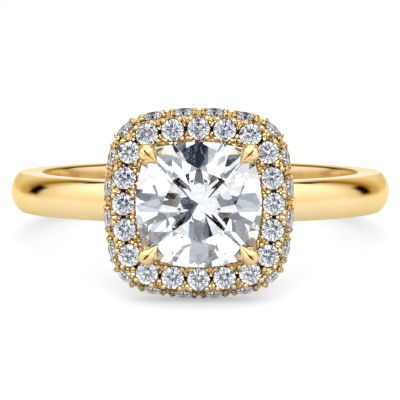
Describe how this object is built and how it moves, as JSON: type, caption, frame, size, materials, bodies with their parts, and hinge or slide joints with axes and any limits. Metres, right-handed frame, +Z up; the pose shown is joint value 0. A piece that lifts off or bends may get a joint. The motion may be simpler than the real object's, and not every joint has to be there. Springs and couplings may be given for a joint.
{
  "type": "diamond ring",
  "caption": "Gold finger ring with a square cushion-cut stone in claws, framed by a double halo of small round stones, on a plain domed band.",
  "frame": {"origin": "centre of the finger hole, half way through the band", "axes": "+Z up from the surface that the ring lies on, -Y towards the head with the stones, +X along the surface across the band"},
  "size_m": [0.0204, 0.0243, 0.0094],
  "materials": {
    "gold": "polished 18 carat yellow gold",
    "diamond": "clear, faceted and polished"
  },
  "bodies": {
    "root": {"band_and_setting": "gold", "centre_stone": "diamond", "halo_stone_01": "diamond", "halo_stone_02": "diamond", "halo_stone_03": "diamond", "halo_stone_04": "diamond", "halo_stone_05": "diamond", "halo_stone_06": "diamond", "halo_stone_07": "diamond", "halo_stone_08": "diamond", "halo_stone_09": "diamond", "halo_stone_10": "diamond", "halo_stone_11": "diamond", "halo_stone_12": "diamond", "halo_stone_13": "diamond", "halo_stone_14": "diamond", "halo_stone_15": "diamond", "halo_stone_16": "diamond", "halo_stone_17": "diamond", "halo_stone_18": "diamond", "halo_stone_19": "diamond", "halo_stone_20": "diamond", "side_stone_01": "diamond", "side_stone_02": "diamond", "side_stone_03": "diamond", "side_stone_04": "diamond", "side_stone_05": "diamond", "side_stone_06": "diamond", "side_stone_07": "diamond", "side_stone_08": "diamond", "side_stone_09": "diamond", "side_stone_10": "diamond", "side_stone_11": "diamond", "side_stone_12": "diamond", "side_stone_13": "diamond", "side_stone_14": "diamond", "side_stone_15": "diamond", "side_stone_16": "diamond", "side_stone_17": "diamond", "side_stone_18": "diamond", "side_stone_19": "diamond", "side_stone_20": "diamond"}
  },
  "joints": []
}
